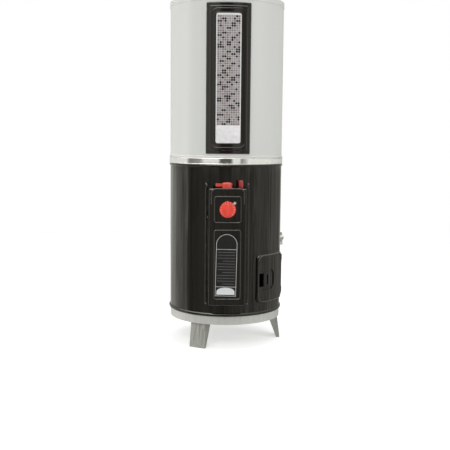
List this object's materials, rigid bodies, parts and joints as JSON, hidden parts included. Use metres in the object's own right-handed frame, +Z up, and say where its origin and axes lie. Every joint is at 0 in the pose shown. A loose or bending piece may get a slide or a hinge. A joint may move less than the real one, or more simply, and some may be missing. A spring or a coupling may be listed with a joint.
{
  "type": "gas water heater",
  "caption": "Floor-standing gas storage water heater on legs: two-tone round casing, front control cover with dial, side fire door, top water fittings and draft hood.",
  "frame": {"origin": "on the tank's axis at floor level, between the feet", "axes": "+Z up, the control panel faces -Y, the fire door is towards +X and -Y"},
  "size_m": [0.5139, 0.5582, 1.6132],
  "materials": {
    "grey_paint": "hammered satin",
    "zinc_hardware": "zinc plated",
    "black_enamel": "high gloss",
    "white_enamel": "gloss",
    "chrome_trim": "polished",
    "black_moulding": "satin gloss",
    "pale_insert": "gloss",
    "red_plastic": "gloss",
    "pale_plastic": "satin",
    "plate_black": "satin with pale lines",
    "valve_casting": "die cast",
    "soft_tube": "satin",
    "copper_line": "satin",
    "brass_fitting": "satin",
    "nickel_fitting": "nickel plated",
    "lever_steel": "plated",
    "handle_plastic": "matte",
    "burner_iron": "rough",
    "chamber_steel": "aluminised",
    "tank_steel": "primer",
    "baffle_steel": "mill",
    "galvanised": "galvanised",
    "steel_nipple": "zinc plated",
    "mineral_wool": "fibrous",
    "dip_plastic": "matte",
    "anode_metal": "as cast"
  },
  "bodies": {
    "root": {"base_ring": "grey_paint", "leg_front_left": "grey_paint", "leg_right": "grey_paint", "leg_rear_left": "grey_paint", "leg_bolts": "zinc_hardware", "cover_screws": "zinc_hardware", "door_hinge_pins": "zinc_hardware", "relief_lever_pin": "zinc_hardware", "lower_casing": "black_enamel", "casing_rim": "black_enamel", "control_cover": "black_enamel", "door_hinge_brackets": "black_enamel", "upper_casing": "white_enamel", "top_cover": "white_enamel", "chrome_band": "chrome_trim", "strip_frame": "black_moulding", "strip_insert": "pale_insert", "dial_pointer": "pale_plastic", "instruction_plate": "plate_black", "gas_valve_body": "valve_casting", "manifold_tube": "soft_tube", "pilot_tube": "soft_tube", "thermocouple": "copper_line", "burner_orifice": "brass_fitting", "pilot_burner": "brass_fitting", "immersion_probe": "brass_fitting", "relief_valve_body": "brass_fitting", "drain_valve_body": "nickel_fitting", "burner_head": "burner_iron", "mixer_tube": "burner_iron", "chamber_skirt": "chamber_steel", "chamber_front_plate": "chamber_steel", "burner_bracket": "chamber_steel", "heat_shield": "chamber_steel", "base_pan": "chamber_steel", "tank_shell": "tank_steel", "tank_top_head": "tank_steel", "tank_bottom_head": "tank_steel", "flue_tube": "tank_steel", "flue_baffle": "baffle_steel", "flue_collar": "galvanised", "draft_hood": "galvanised", "draft_hood_legs": "galvanised", "hot_nipple": "steel_nipple", "cold_nipple": "steel_nipple", "insulation_lower": "mineral_wool", "insulation_upper": "mineral_wool", "dip_tube": "dip_plastic", "anode_rod": "anode_metal"},
    "temperature_dial": {"temperature_dial": "red_plastic"},
    "gas_cock": {"gas_cock_knob": "red_plastic"},
    "pilot_button": {"pilot_button": "red_plastic"},
    "fire_door": {"fire_door": "black_enamel"},
    "peep_shutter": {"peep_shutter": "black_enamel"},
    "drain_handle": {"drain_handle": "handle_plastic"},
    "relief_lever": {"relief_lever": "lever_steel"},
    "relief_stem": {"relief_stem": "brass_fitting"}
  },
  "joints": [
    {"name": "temperature_dial_turn", "type": "hinge", "parent": "root", "child": "temperature_dial", "pos_m": [0, -0.29, 0.5855], "axis": [0, -1, 0], "range_deg": [-150, 120]},
    {"name": "gas_cock_turn", "type": "hinge", "parent": "root", "child": "gas_cock", "pos_m": [-0.002, -0.263, 0.69], "axis": [0, 0, 1], "range_deg": [0, 110]},
    {"name": "pilot_button_press", "type": "slide", "parent": "root", "child": "pilot_button", "axis": [0, 0, -1], "range_m": [0, 0.006], "stiffness_N_per_m": 500, "springref_m": -0.004},
    {"name": "fire_door_swing", "type": "hinge", "parent": "root", "child": "fire_door", "pos_m": [0.24149, -0.04476, 0.289], "axis": [0, 0, 1], "range_deg": [0, 110]},
    {"name": "peep_shutter_slide", "type": "hinge", "parent": "fire_door", "child": "peep_shutter", "pos_m": [0, 0, 0.284], "axis": [0, 0, -1], "range_deg": [0, 6]},
    {"name": "drain_handle_turn", "type": "hinge", "parent": "root", "child": "drain_handle", "pos_m": [0.25377, 0.11833, 0.443], "axis": [0, 0, 1], "range_deg": [0, 90]},
    {"name": "relief_lever_lift", "type": "hinge", "parent": "root", "child": "relief_lever", "pos_m": [0, 0.121, 1.5082], "axis": [1, 0, 0], "range_deg": [0, 75], "stiffness_Nm_per_rad": 0.02, "springref_deg": -17.19},
    {"name": "relief_stem_rise", "type": "slide", "parent": "root", "child": "relief_stem", "axis": [0, 0, 1], "range_m": [0, 0.003]}
  ],
  "couplings": [
    {"joint": "relief_stem_rise", "follows": "relief_lever_lift", "m_per_rad": 0.002284}
  ]
}
